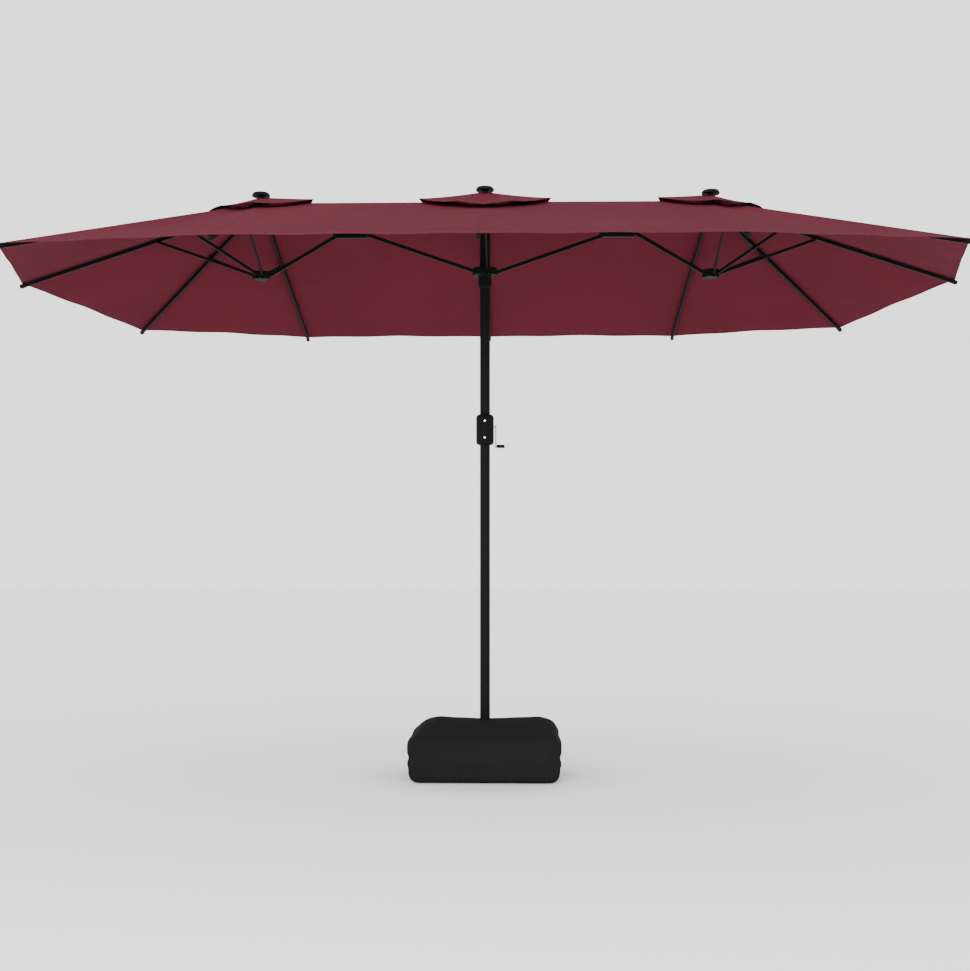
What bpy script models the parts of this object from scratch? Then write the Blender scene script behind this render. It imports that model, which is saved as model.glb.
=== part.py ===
"""Patio umbrella with three linked heads on one pole, a crank and a weighted base.

Metres, +Z up. The origin is on the floor, on the pole's axis. +X runs along the ridge,
-Y faces the front. Every moving piece has its origin on its own hinge or slide axis.
"""

import math

import bmesh
import bpy
from mathutils import Matrix, Vector

# --- overall sizes ---------------------------------------------------------
SPAN_X = 4.49  # canopy, end tip to end tip
SPAN_Y = 2.45  # canopy, front edge to back edge
HEAD_X = 1.077  # pole axis to the axis of each side head
HUB_Z = 2.718  # rib pivots in the three upper hubs
END_TIP_Z = 2.365  # canopy height at the end tips
CORNER_TIP_Z = 2.314  # canopy height at the four corner tips
SIDE_TIP_Z = 2.300  # canopy height along the two long sides
CORNER_X = 1.956  # corner tips
CORNER_Y = 1.040
SIDE_TIP_X = 1.041  # the side heads' front and back tips
GAP = 0.0003  # clearance where two still pieces touch
PLAY = 0.0006  # clearance of a piece that slides or turns

# --- pole, crank and pulley ------------------------------------------------
POLE_R = 0.024
POLE_WALL = 0.0015
POLE_FOOT_Z = 0.034
HOUSING_Z = 1.657  # middle of the crank housing
HOUSING_H = 0.146
HOUSING_WALL = 0.0185
HOUSING_R = POLE_R + HOUSING_WALL
HOUSING_CORNER = 0.016
SHAFT_Z = 1.672  # crank shaft
POLE_GAP = 0.046  # space between the two pole lengths, for the spool
SPOOL_R = 0.009
SPOOL_FLANGE_R = 0.016
SPOOL_L = 0.033
SHAFT_R = 0.005
CRANK_ARM = 0.094
CRANK_THICK = 0.006
GRIP_R = 0.0085
GRIP_L = 0.040
PULLEY_X = POLE_R - 0.0105  # the pulley stands half out of the pole, so that a rope would clear it
PULLEY_DROP = 0.050  # pulley below the rib pivots
PULLEY_R = 0.014
PULLEY_GROOVE_R = 0.011
PULLEY_W = 0.006
PIN_R = 0.002
PIN_L = 2 * POLE_R - 0.005

# --- hubs ------------------------------------------------------------------
PIVOT_R = POLE_R + 0.021  # rib pivots, from a head's axis
HUB_R = PIVOT_R + 0.011
HUB_UP = 0.014  # hub above and below its pivots
HUB_DOWN = 0.016
RUNNER_PIVOT_R = POLE_R + 0.026
RUNNER_R = RUNNER_PIVOT_R + 0.010
RUNNER_Z = 2.413
RUNNER_UP = 0.016
RUNNER_DOWN = 0.018
COLLAR_R = POLE_R + 0.007
COLLAR_Z = 2.333
LOW_PIVOT_R = 0.032
LOW_HUB_R = LOW_PIVOT_R + 0.008
LOW_HUB_Z = 2.400
CAP_R = 0.043
CAP_RISE = 0.083  # side caps above the pivots
CENTRE_CAP_RISE = 0.104

# --- ribs, arms and struts -------------------------------------------------
RIB_W = 0.012
RIB_H = 0.016
RIB_TIP = 0.017  # end cap, across
RIB_TIP_L = 0.026
STRUT_W = 0.009
STRUT_H = 0.013
SIDE_PLAY = 0.001  # between a strut and the rib that it lies beside
ARM_W = 0.025
ARM_STRUT_W = 0.010
ARM_STRUT_H = 0.016
GUSSET_TOP = (0.500, 0.780)  # bracket under the arm, where it meets the tube
PIN_CENTRE = (0.564, 2.590)  # bracket pins, x and z
PIN_SIDE = (0.712, 2.595)
RIB_PIN_CENTRE = 0.480  # strut pin along a rib, from the rib's pivot
RIB_PIN_SIDE = 0.487
RIVET_R = 0.006
RIVET_H = 0.003

# --- canopy ----------------------------------------------------------------
CLOTH = 0.0016
# ribs' centre lines below the cloth, square to it: more where the roof is steeper or the ribs are wider
CLOTH_CLEAR = RIB_H / 2 + 0.0031 + 0.56 * RIB_W * (HUB_Z - SIDE_TIP_Z) / (SPAN_Y / 2)
TIP_REACH = 0.009  # rib ends past the cloth
SCALLOP = 0.013  # how far an edge curves in between two tips
EDGE_STEPS = 6
VENT_HOLE_R = 0.130
VENT_LIFT = 0.018  # vent cap above the cloth
CENTRE_VENT = (0.320, 0.290)  # half widths of the caps over the openings
SIDE_VENT = (0.250, 0.240)

# --- base ------------------------------------------------------------------
BAG = (0.720, 0.480, 0.270)
BAG_CORNER = 0.055
LEG_X = 0.600
LEG_Y = 0.400
LEG_W = 0.040
LEG_H = 0.020
FLANGE_R = POLE_R + 0.044
FLANGE_T = 0.005
SOCKET_WALL = 0.003
SOCKET_TOP = 0.236
BOLT_R = 0.004
BOLT_HEAD_R = 0.009
BOLT_HEAD_H = 0.004
BOLT_TOP = 0.030

ROUND = 24
UP = Vector((0, 0, 1))
CLOTH_RED = (0.20, 0.035, 0.055)
STEEL_BLACK = (0.012, 0.013, 0.013)


# --- helpers ---------------------------------------------------------------
def clear_scene():
    for item in list(bpy.data.objects):
        bpy.data.objects.remove(item, do_unlink=True)


def finish_material(name, colour, roughness, metallic):
    made = bpy.data.materials.new(name)
    made.use_nodes = True
    shader = made.node_tree.nodes["Principled BSDF"]
    shader.inputs["Base Color"].default_value = (*colour, 1)
    shader.inputs["Roughness"].default_value = roughness
    shader.inputs["Metallic"].default_value = metallic
    return made


def add_object(name, mesh_data, origin=(0, 0, 0), colour=STEEL_BLACK, roughness=0.45, metallic=0.6):
    """Makes a node from a bmesh in world places, with its origin moved to its axis."""
    bmesh.ops.recalc_face_normals(mesh_data, faces=mesh_data.faces)
    mesh = bpy.data.meshes.new(name)
    mesh_data.to_mesh(mesh)
    mesh_data.free()
    mesh.transform(Matrix.Translation(-Vector(origin)))
    mesh.shade_smooth()
    mesh.set_sharp_from_angle(angle=math.radians(35))
    item = bpy.data.objects.new(name, mesh)
    item.location = origin
    bpy.context.scene.collection.objects.link(item)
    item.data.materials.append(finish_material(name, colour, roughness, metallic))
    return item


def prism(outline, low, high):
    """A closed solid from a flat outline in X and Y, between two heights."""
    made = bmesh.new()
    rings = [[made.verts.new((x, y, z)) for x, y in outline] for z in (low, high)]
    made.faces.new(rings[0][::-1])
    made.faces.new(rings[1])
    bridge(made, rings[0], rings[1])
    return made


def bridge(made, first, second):
    count = len(first)
    for i in range(count):
        j = (i + 1) % count
        made.faces.new((first[i], first[j], second[j], second[i]))


def lathe(profile, steps=ROUND):
    """A solid turned about Z from (radius, z) points. A profile that starts and ends on the axis
    is closed by its poles, and any other is closed on itself, as a ring."""
    made = bmesh.new()
    on_axis = profile[0][0] == 0
    rings = []
    for radius, z in profile:
        if radius == 0:
            rings.append([made.verts.new((0, 0, z))])
            continue
        angles = [math.tau * k / steps for k in range(steps)]
        rings.append([made.verts.new((radius * math.cos(a), radius * math.sin(a), z)) for a in angles])
    pairs = list(zip(rings, rings[1:]))
    if not on_axis:
        pairs.append((rings[-1], rings[0]))
    for low, high in pairs:
        for k in range(steps):
            n = (k + 1) % steps
            if len(low) == 1:
                made.faces.new((low[0], high[n], high[k]))
            elif len(high) == 1:
                made.faces.new((low[k], low[n], high[0]))
            else:
                made.faces.new((low[k], low[n], high[n], high[k]))
    return made


def rod(radius, length, low=0, steps=ROUND):
    """A solid cylinder up Z from a height."""
    high = low + length
    return lathe([(0, low), (radius, low), (radius, high), (0, high)], steps)


def pipe(outer, inner, low, high, steps=ROUND):
    return lathe([(inner, low), (outer, low), (outer, high), (inner, high)], steps)


def placed(made, matrix):
    bmesh.ops.transform(made, matrix=matrix, verts=made.verts)
    return made


def boolean(target, operation, *tools):
    """Cuts or joins closed tool meshes, one after another."""
    for k, tool in enumerate(tools):
        cutter = add_object(f"{target.name}_tool_{k}", tool)
        cutter.hide_render = True
        cutter.display_type = "WIRE"
        modifier = target.modifiers.new(f"step_{k}", "BOOLEAN")
        modifier.operation = operation
        modifier.object = cutter


def box(size, centre):
    made = bmesh.new()
    bmesh.ops.create_cube(made, size=1)
    bmesh.ops.scale(made, vec=size, verts=made.verts)
    bmesh.ops.translate(made, vec=centre, verts=made.verts)
    return made


def radial(azimuth):
    return Vector((math.cos(azimuth), math.sin(azimuth), 0))


def tangent(azimuth):
    return Vector((-math.sin(azimuth), math.cos(azimuth), 0))


def slot_outline(radius, slots, steps_between=3):
    """A round outline with square slots. Each slot is (azimuth, sideways offset, width, depth to radius)."""
    points = []
    edges = []
    for azimuth, offset, width, inner in slots:
        low = math.asin((offset - width / 2) / radius)
        high = math.asin((offset + width / 2) / radius)
        edges.append((azimuth + low, azimuth + high, azimuth, offset, width, inner))
    edges.sort(key=lambda e: e[0])
    for k, (start, stop, azimuth, offset, width, inner) in enumerate(edges):
        out, side = radial(azimuth), tangent(azimuth)
        for across in (offset - width / 2, offset + width / 2):
            deep = out * inner + side * across
            mouth = out * math.sqrt(radius**2 - across**2) + side * across
            pair = (mouth, deep) if across < offset else (deep, mouth)
            points += [(p.x, p.y) for p in pair]
        after = edges[(k + 1) % len(edges)][0] + (math.tau if k == len(edges) - 1 else 0)
        for n in range(1, steps_between + 1):
            angle = stop + (after - stop) * n / (steps_between + 1)
            points.append((radius * math.cos(angle), radius * math.sin(angle)))
    return points


def side_frame(start, end, sideways):
    """A frame at start with X along the bar, Y sideways (level) and Z upwards across it."""
    along = (end - start).normalized()
    across = UP.cross(along).normalized()
    rise = along.cross(across)
    turn = Matrix((along, across, rise)).transposed().to_4x4()
    return Matrix.Translation(start + across * sideways) @ turn


def link(length, height, width, rivet=True):
    """A flat bar from its pivot at 0 to its pin at length, with round ends and a rivet head on the pin."""
    outline = []
    for centre, turn in ((length, -math.pi / 2), (0, math.pi / 2)):
        for k in range(7):
            angle = turn + math.pi * k / 6
            outline.append((centre + height / 2 * math.cos(angle), height / 2 * math.sin(angle)))
    made = bmesh.new()
    rings = [[made.verts.new((x, y, z)) for x, z in outline] for y in (-width / 2, width / 2)]
    made.faces.new(rings[0])
    made.faces.new(rings[1][::-1])
    bridge(made, rings[1], rings[0])
    if rivet:
        face = Matrix.Translation((length, width / 2 - GAP, 0)) @ Matrix.Rotation(-math.pi / 2, 4, "X")
        return made, placed(rod(RIVET_R, RIVET_H, 0, 12), face)
    return made, None


def add_strut(name, pivot, pin, sideways, height, width):
    """A strut that hinges at pivot and lies beside its rib, to one side of the plane that they share."""
    bar, rivet = link((pin - pivot).length, height, width)
    frame = side_frame(pivot, pin, sideways)
    item = add_object(name, placed(bar, frame), origin=pivot)
    boolean(item, "UNION", placed(rivet, frame))
    return item


def rib_sections(length):
    """Places, widths and heights of a rib's sections, from behind its pivot to its end cap."""
    nose = RIB_H / 2
    return [
        (-nose, RIB_W, RIB_H * 0.35),
        (-nose * 0.6, RIB_W, RIB_H * 0.8),
        (0, RIB_W, RIB_H),
        (length - RIB_TIP_L, RIB_W, RIB_H),
        (length - RIB_TIP_L + 0.003, RIB_TIP, RIB_TIP),
        (length - 0.005, RIB_TIP, RIB_TIP),
        (length, RIB_TIP * 0.6, RIB_TIP * 0.6),
    ]


def add_rib(name, pivot, tip):
    made = bmesh.new()
    rings = []
    for place, width, height in rib_sections((tip - pivot).length):
        corners = ((-1, -1), (1, -1), (1, 1), (-1, 1))
        rings.append([made.verts.new((place, a * width / 2, b * height / 2)) for a, b in corners])
    made.faces.new(rings[0][::-1])
    made.faces.new(rings[-1])
    for first, second in zip(rings, rings[1:]):
        bridge(made, first, second)
    return add_object(name, placed(made, side_frame(pivot, tip, 0)), origin=pivot)


# --- shared layout ---------------------------------------------------------
SLOPE = math.atan2(HUB_Z - SIDE_TIP_Z + CLOTH_CLEAR, SPAN_Y / 2 - PIVOT_R)  # the steepest ribs
TIP_DROP = CLOTH_CLEAR / math.cos(SLOPE)
RIDGE_Z = HUB_Z + PIVOT_R * math.tan(SLOPE) + TIP_DROP
RIB_SLOT_IN = PIVOT_R - RIB_H / 2 - 0.006
ARM_SLOT_IN = PIVOT_R - ARM_W / 2 - 0.0015
SIDES = {"right": 1, "left": -1}
LATERAL = RIB_W / 2 + SIDE_PLAY + STRUT_W / 2
ARM_LATERAL = ARM_W / 2 + SIDE_PLAY + ARM_STRUT_W / 2
RIB_SLOT = RIB_W + 2 * SIDE_PLAY
STRUT_SLOT = STRUT_W + 2 * SIDE_PLAY
ARM_SLOT = ARM_W + 2 * SIDE_PLAY
ARM_STRUT_SLOT = ARM_STRUT_W + 2 * SIDE_PLAY


def head_tips(side):
    """The five ribs of a side head: name and canopy tip."""
    end = SPAN_X / 2
    return {
        "end": Vector((side * end, 0, END_TIP_Z)),
        "front_corner": Vector((side * CORNER_X, -CORNER_Y, CORNER_TIP_Z)),
        "back_corner": Vector((side * CORNER_X, CORNER_Y, CORNER_TIP_Z)),
        "front": Vector((side * SIDE_TIP_X, -SPAN_Y / 2, SIDE_TIP_Z)),
        "back": Vector((side * SIDE_TIP_X, SPAN_Y / 2, SIDE_TIP_Z)),
    }


def centre_tips():
    return {
        "front": Vector((0, -SPAN_Y / 2, SIDE_TIP_Z)),
        "back": Vector((0, SPAN_Y / 2, SIDE_TIP_Z)),
    }


def azimuth_of(axis, point):
    return math.atan2(point.y - axis.y, point.x - axis.x)


def on_ring(axis, azimuth, radius, z):
    place = axis + radial(azimuth) * radius
    return Vector((place.x, place.y, z))


def rib_line(axis, tip):
    """A rib's pivot and its end, below the cloth's tip."""
    return on_ring(axis, azimuth_of(axis, tip), PIVOT_R, HUB_Z), tip - UP * TIP_DROP


def add_rib_pair(prefix, axis, tip, pin_along, strut_axis_r, strut_z):
    """A rib and the strut that holds it up."""
    pivot, end = rib_line(axis, tip)
    add_rib(f"{prefix}_rib", pivot, end)
    pin = pivot + (end - pivot).normalized() * pin_along
    foot = on_ring(axis, azimuth_of(axis, tip), strut_axis_r, strut_z)
    add_strut(f"{prefix}_strut", foot, pin, LATERAL, STRUT_H, STRUT_W)


# --- base ------------------------------------------------------------------
def rounded_box_sections(size, corner, count=3):
    """Heights and insets of a box with round top edges and a softly rounded foot."""
    foot = corner * 0.35
    lows = [(foot * (1 - math.cos(a)), foot * (1 - math.sin(a))) for a in (0, math.pi / 4)]
    sections = [(z, inset) for z, inset in lows] + [(foot, 0)]
    for k in range(count + 1):
        angle = math.pi / 2 * k / count
        sections.append((size[2] - corner + corner * math.sin(angle), corner * (1 - math.cos(angle))))
    return sections


def rounded_outline(width, depth, corner, steps=4):
    points = []
    for k, (sx, sy) in enumerate(((1, 1), (-1, 1), (-1, -1), (1, -1))):
        for n in range(steps + 1):
            angle = math.pi / 2 * (k + n / steps)
            x = sx * (width / 2 - corner) + corner * math.cos(angle)
            y = sy * (depth / 2 - corner) + corner * math.sin(angle)
            points.append((x, y))
    return points


def build_bag():
    """The sand-filled weight bag: a soft block with room below for the cross and a bore for the socket."""
    made = bmesh.new()
    rings = []
    for z, inset in rounded_box_sections(BAG, BAG_CORNER):
        outline = rounded_outline(BAG[0] - 2 * inset, BAG[1] - 2 * inset, BAG_CORNER * 1.2 - inset * 0.6)
        rings.append([made.verts.new((x, y, z)) for x, y in outline])
    made.faces.new(rings[0][::-1])
    made.faces.new(rings[-1])
    for first, second in zip(rings, rings[1:]):
        bridge(made, first, second)
    bag = add_object("weight_bag", made, colour=(0.013, 0.013, 0.013), roughness=0.85, metallic=0)
    room = 2 * (LEG_H + PLAY)
    boolean(
        bag,
        "DIFFERENCE",
        box((LEG_X + 0.010, LEG_W + 0.006, room), (0, 0, 0)),
        box((LEG_W + 0.006, LEG_Y + 0.010, room), (0, 0, 0)),
        rod(FLANGE_R + 0.004, LEG_H + FLANGE_T + 0.020, -0.01),
        rod(POLE_R + SOCKET_WALL + 0.003, BAG[2] + 0.02, -0.01),
    )


def build_cross():
    """Two flat legs, half-lapped where they cross, with a bolt up through both."""
    half = LEG_H / 2 + GAP / 2
    notch = LEG_W + 2 * GAP
    bolt_hole = rod(BOLT_R + GAP, LEG_H + 0.02, -0.01, 16)
    long_leg = add_object("base_leg_long", box((LEG_X, LEG_W, LEG_H), (0, 0, LEG_H / 2)))
    head_hole = rod(BOLT_HEAD_R + GAP, BOLT_HEAD_H + 2 * GAP + 0.01, -0.01, 16)
    lap = box((notch, LEG_W * 2, LEG_H), (0, 0, LEG_H * 1.5 - half))
    boolean(long_leg, "DIFFERENCE", lap, bolt_hole, head_hole)
    short_leg = add_object("base_leg_short", box((LEG_W, LEG_Y, LEG_H), (0, 0, LEG_H / 2)))
    lap = box((LEG_W * 2, notch, LEG_H), (0, 0, half - LEG_H / 2))
    boolean(short_leg, "DIFFERENCE", lap, rod(BOLT_R + GAP, LEG_H + 0.02, -0.01, 16))
    neck = GAP + BOLT_HEAD_H
    bolt = lathe([(0, GAP), (BOLT_HEAD_R, GAP), (BOLT_HEAD_R, neck), (BOLT_R, neck), (BOLT_R, BOLT_TOP), (0, BOLT_TOP)], 16)
    add_object("base_bolt", bolt, colour=(0.4, 0.4, 0.4), metallic=1)


def build_socket():
    """A flanged tube that stands on the cross and takes the pole. The bolt screws into its floor."""
    low = LEG_H + GAP
    inner = POLE_R + PLAY
    outer = inner + SOCKET_WALL
    floor = POLE_FOOT_Z - GAP
    profile = [
        (0, low),
        (FLANGE_R, low),
        (FLANGE_R, low + FLANGE_T),
        (outer, low + FLANGE_T),
        (outer, SOCKET_TOP),
        (inner, SOCKET_TOP),
        (inner, floor),
        (0, floor),
    ]
    socket = add_object("base_socket", lathe(profile), roughness=0.4)
    boolean(socket, "DIFFERENCE", rod(BOLT_R + GAP, BOLT_TOP + GAP + 0.01, -0.01, 16))


# --- pole and crank --------------------------------------------------------
def build_poles():
    lower_top = SHAFT_Z - POLE_GAP / 2
    upper_low = SHAFT_Z + POLE_GAP / 2
    add_object("lower_pole", pipe(POLE_R, POLE_R - POLE_WALL, POLE_FOOT_Z, lower_top))
    upper = add_object("upper_pole", pipe(POLE_R, POLE_R - POLE_WALL, upper_low, HUB_Z - HUB_DOWN + 0.010))
    wheel_z = HUB_Z - PULLEY_DROP
    slot = box((0.030, PULLEY_W + 0.003, 0.032), (PULLEY_X + 0.012, 0, wheel_z))
    boolean(upper, "DIFFERENCE", slot, placed(rod(PIN_R + GAP, 0.08, -0.04, 12), pulley_frame()))


def pulley_frame():
    """Z of this frame runs along the pulley's pin, towards the front."""
    return Matrix.Translation((PULLEY_X, 0, HUB_Z - PULLEY_DROP)) @ Matrix.Rotation(math.pi / 2, 4, "X")


def shaft_frame(x):
    """Z of this frame runs along the crank shaft, towards +X."""
    return Matrix.Translation((x, 0, SHAFT_Z)) @ Matrix.Rotation(math.pi / 2, 4, "Y")


def housing_profile():
    """One half of the housing's section: a block with round shoulders, bored for the pole."""
    half = HOUSING_H / 2
    bore = POLE_R + GAP
    shoulder = []
    for k in range(5):
        angle = math.pi / 2 * k / 4
        radius = HOUSING_R - HOUSING_CORNER * (1 - math.sin(angle))
        shoulder.append((radius, half - HOUSING_CORNER * (1 - math.cos(angle))))
    top = [(bore, half)] + shoulder
    return [(r, -z) for r, z in top] + top[::-1]


def build_housing():
    """Two shells that clamp both pole lengths, with the spool between them."""
    middle = Matrix.Translation((0, 0, HOUSING_Z))
    reach = HOUSING_R * 3
    for name, side in (("front", 1), ("back", -1)):
        shell = add_object(f"crank_housing_{name}", placed(lathe(housing_profile(), 32), middle), roughness=0.5)
        other_half = box((reach, reach, reach * 2), (0, side * (reach / 2 - GAP / 2), HOUSING_Z))
        shaft_hole = placed(rod(SHAFT_R + PLAY, HOUSING_R * 2, 0, 16), shaft_frame(0))
        boolean(shell, "DIFFERENCE", other_half, shaft_hole)
    for name, z in (("upper", 0.040), ("lower", -0.040)):
        place = Matrix.Translation((0, -HOUSING_R - GAP, HOUSING_Z + z)) @ Matrix.Rotation(math.pi / 2, 4, "X")
        head = rod(0.005, 0.0020, 0, 12)
        add_object(f"housing_screw_{name}", placed(head, place), colour=(0.3, 0.3, 0.3), metallic=1)


def build_crank():
    """Spool with its shaft, the arm and the grip. They turn together."""
    half = SPOOL_L / 2
    arm_x = HOUSING_R + 0.006
    rim = half - 0.003
    spool = lathe(
        [
            (0, -half),
            (SPOOL_FLANGE_R, -half),
            (SPOOL_FLANGE_R, -rim),
            (SPOOL_R, -rim),
            (SPOOL_R, rim),
            (SPOOL_FLANGE_R, rim),
            (SPOOL_FLANGE_R, half),
            (SHAFT_R, half),
            (SHAFT_R, arm_x - GAP),
            (0, arm_x - GAP),
        ]
    )
    origin = (0, 0, SHAFT_Z)
    add_object("rope_spool", placed(spool, shaft_frame(0)), origin, (0.5, 0.5, 0.5), 0.4, 0.9)
    bar, _ = link(CRANK_ARM, 0.014, CRANK_THICK, rivet=False)
    down = Matrix(((0, 1, 0, arm_x + CRANK_THICK / 2), (0, 0, -1, 0), (-1, 0, 0, SHAFT_Z), (0, 0, 0, 1)))
    add_object("crank_arm", placed(bar, down), origin, (0.22, 0.22, 0.21), 0.4, 0.9)
    grip = lathe(
        [
            (0, 0),
            (GRIP_R * 0.75, 0),
            (GRIP_R, GRIP_L * 0.25),
            (GRIP_R * 0.9, GRIP_L * 0.6),
            (GRIP_R, GRIP_L * 0.9),
            (GRIP_R * 0.7, GRIP_L),
            (0, GRIP_L),
        ],
        16,
    )
    low = SHAFT_Z - CRANK_ARM
    frame = Matrix.Translation((0, 0, -CRANK_ARM)) @ shaft_frame(arm_x + CRANK_THICK + GAP)
    add_object("crank_grip", placed(grip, frame), (0, 0, low), (0.02, 0.02, 0.02), 0.6, 0)


def build_pulley():
    """The pulley near the pole's top, on its pin. The rope that would run over it is left out."""
    half = PULLEY_W / 2
    groove = [(PIN_R + GAP, -half), (PULLEY_R, -half), (PULLEY_GROOVE_R, 0), (PULLEY_R, half), (PIN_R + GAP, half)]
    origin = (PULLEY_X, 0, HUB_Z - PULLEY_DROP)
    add_object("rope_pulley", placed(lathe(groove), pulley_frame()), origin, (0.5, 0.5, 0.5), 0.4, 0.9)
    pin = rod(PIN_R, PIN_L, -PIN_L / 2, 12)
    add_object("pulley_pin", placed(pin, pulley_frame()), origin, (0.5, 0.5, 0.5), 0.4, 0.9)


# --- hubs ------------------------------------------------------------------
def head_slots(axis, tips, width, offset, inner):
    return [(azimuth_of(axis, tip), offset, width, inner) for tip in tips.values()]


def add_hub(name, axis, radius, slots, low, high, bore=None):
    made = placed(prism(slot_outline(radius, slots), low, high), Matrix.Translation(axis))
    hub = add_object(name, made, origin=(axis.x, axis.y, (low + high) / 2), roughness=0.5, metallic=0.2)
    if bore:
        boolean(hub, "DIFFERENCE", placed(rod(bore, high - low + 0.02, low - 0.01), Matrix.Translation(axis)))
    return hub


def add_cap(name, axis, rise):
    """The turned cap that clamps the vent cloth, on a stem that stands on the hub."""
    low = HUB_Z + HUB_UP + GAP
    top = HUB_Z + rise
    profile = [
        (0, low),
        (0.014, low),
        (0.014, top - 0.022),
        (CAP_R, top - 0.020),
        (CAP_R, top - 0.012),
        (CAP_R * 0.85, top - 0.004),
        (CAP_R * 0.45, top),
        (0, top),
    ]
    add_object(name, placed(lathe(profile), Matrix.Translation(axis)), origin=(axis.x, axis.y, low), roughness=0.5)


def build_centre_head():
    """Fixed hub on the pole's top, the sliding runner, and the front and back ribs."""
    axis = Vector((0, 0, 0))
    slots = [(0, 0, ARM_SLOT, ARM_SLOT_IN), (math.pi, 0, ARM_SLOT, ARM_SLOT_IN)]
    slots += head_slots(axis, centre_tips(), RIB_SLOT, 0, RIB_SLOT_IN)
    hub = add_hub("centre_hub", axis, HUB_R, slots, HUB_Z - HUB_DOWN, HUB_Z + HUB_UP)
    boolean(hub, "DIFFERENCE", rod(POLE_R + GAP, HUB_Z - HUB_DOWN + 0.010 + GAP))
    add_cap("centre_cap", axis, CENTRE_CAP_RISE)
    runner_inner = RUNNER_PIVOT_R - ARM_STRUT_H / 2 - 0.003
    slots = [(a, ARM_LATERAL, ARM_STRUT_SLOT, runner_inner) for a in (0, math.pi)]
    slots += head_slots(axis, centre_tips(), STRUT_SLOT, LATERAL, runner_inner)
    bore = POLE_R + PLAY
    ring_low, ring_high = RUNNER_Z - RUNNER_DOWN, RUNNER_Z + RUNNER_UP
    runner = add_hub("runner", axis, RUNNER_R, slots, ring_low, ring_high, bore)
    collar = lathe(
        [
            (bore, COLLAR_Z),
            (COLLAR_R - 0.004, COLLAR_Z),
            (COLLAR_R, COLLAR_Z + 0.010),
            (COLLAR_R, ring_low - 0.010),
            (runner_inner - 0.002, ring_low + 0.004),
            (bore, ring_low + 0.004),
        ]
    )
    boolean(runner, "UNION", collar)
    for name, tip in centre_tips().items():
        add_rib_pair(f"centre_{name}", axis, tip, RIB_PIN_CENTRE, RUNNER_PIVOT_R, RUNNER_Z)


def build_side_head(name, side):
    """Upper hub on the arm's end, the lower hub that hangs from the struts, and five ribs."""
    axis = Vector((side * HEAD_X, 0, 0))
    inwards = math.pi if side > 0 else 0
    tips = head_tips(side)
    slots = head_slots(axis, tips, RIB_SLOT, 0, RIB_SLOT_IN) + [(inwards, 0, ARM_SLOT, ARM_SLOT_IN)]
    add_hub(f"{name}_hub", axis, HUB_R, slots, HUB_Z - HUB_DOWN, HUB_Z + HUB_UP)
    add_cap(f"{name}_cap", axis, CAP_RISE)
    low_inner = LOW_PIVOT_R - ARM_STRUT_H / 2 - 0.001
    slots = head_slots(axis, tips, STRUT_SLOT, LATERAL, low_inner)
    slots.append((inwards, ARM_LATERAL, ARM_STRUT_SLOT, low_inner))
    add_hub(f"{name}_lower_hub", axis, LOW_HUB_R, slots, LOW_HUB_Z - 0.018, LOW_HUB_Z + 0.018)
    for rib, tip in tips.items():
        add_rib_pair(f"{name}_{rib}", axis, tip, RIB_PIN_SIDE, LOW_PIVOT_R, LOW_HUB_Z)


def build_arm(name, side):
    """The ridge arm from the centre hub to a side head, with the bracket that both arm struts hold."""
    start = Vector((side * PIVOT_R, 0, HUB_Z))
    end = Vector((side * (HEAD_X - PIVOT_R), 0, HUB_Z))
    bar, _ = link((end - start).length, ARM_W, ARM_W, rivet=False)
    arm = add_object(f"{name}_arm", placed(bar, side_frame(start, end, 0)), origin=start)
    low = min(PIN_CENTRE[1], PIN_SIDE[1]) - 0.012
    outline = [
        (GUSSET_TOP[0], HUB_Z),
        (PIN_CENTRE[0] - 0.014, low + 0.012),
        (PIN_CENTRE[0], low),
        (PIN_SIDE[0], low),
        (PIN_SIDE[0] + 0.014, low + 0.012),
        (GUSSET_TOP[1], HUB_Z),
    ]
    plate = prism([(side * x, z) for x, z in outline], -ARM_W / 2 + 0.001, ARM_W / 2 - 0.001)
    bmesh.ops.recalc_face_normals(plate, faces=plate.faces)
    boolean(arm, "UNION", placed(plate, Matrix.Rotation(math.pi / 2, 4, "X")))
    pins = {
        f"{name}_arm_strut": (Vector((side * RUNNER_PIVOT_R, 0, RUNNER_Z)), PIN_CENTRE),
        f"{name}_brace": (Vector((side * (HEAD_X - LOW_PIVOT_R), 0, LOW_HUB_Z)), PIN_SIDE),
    }
    for strut, (pivot, (x, z)) in pins.items():
        add_strut(strut, pivot, Vector((side * x, 0, z)), ARM_LATERAL, ARM_STRUT_H, ARM_STRUT_W)


# --- canopy ----------------------------------------------------------------
def canopy_rim():
    """The cloth's tips round the edge, anticlockwise from the right end."""
    right, left, centre = head_tips(1), head_tips(-1), centre_tips()
    order = [right["end"], right["back_corner"], right["back"], centre["back"], left["back"], left["back_corner"]]
    order += [left["end"], left["front_corner"], left["front"], centre["front"], right["front"], right["front_corner"]]
    return [tip + (over_ridge(tip) - tip).normalized() * TIP_REACH for tip in order]


def over_ridge(point):
    """The point on the ridge line that the cloth runs up to from a point of the rim."""
    return Vector((max(-HEAD_X, min(HEAD_X, point.x)), 0, RIDGE_Z))


def edge_points():
    """The edge, with a shallow inward curve between each pair of tips."""
    tips = canopy_rim()
    points = []
    for tip, after in zip(tips, tips[1:] + tips[:1]):
        inwards = over_ridge(tip) + over_ridge(after) - tip - after
        inwards.z = 0
        inwards.normalize()
        for n in range(EDGE_STEPS):
            share = n / EDGE_STEPS
            points.append(tip.lerp(after, share) + inwards * SCALLOP * 4 * share * (1 - share))
    return points


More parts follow.
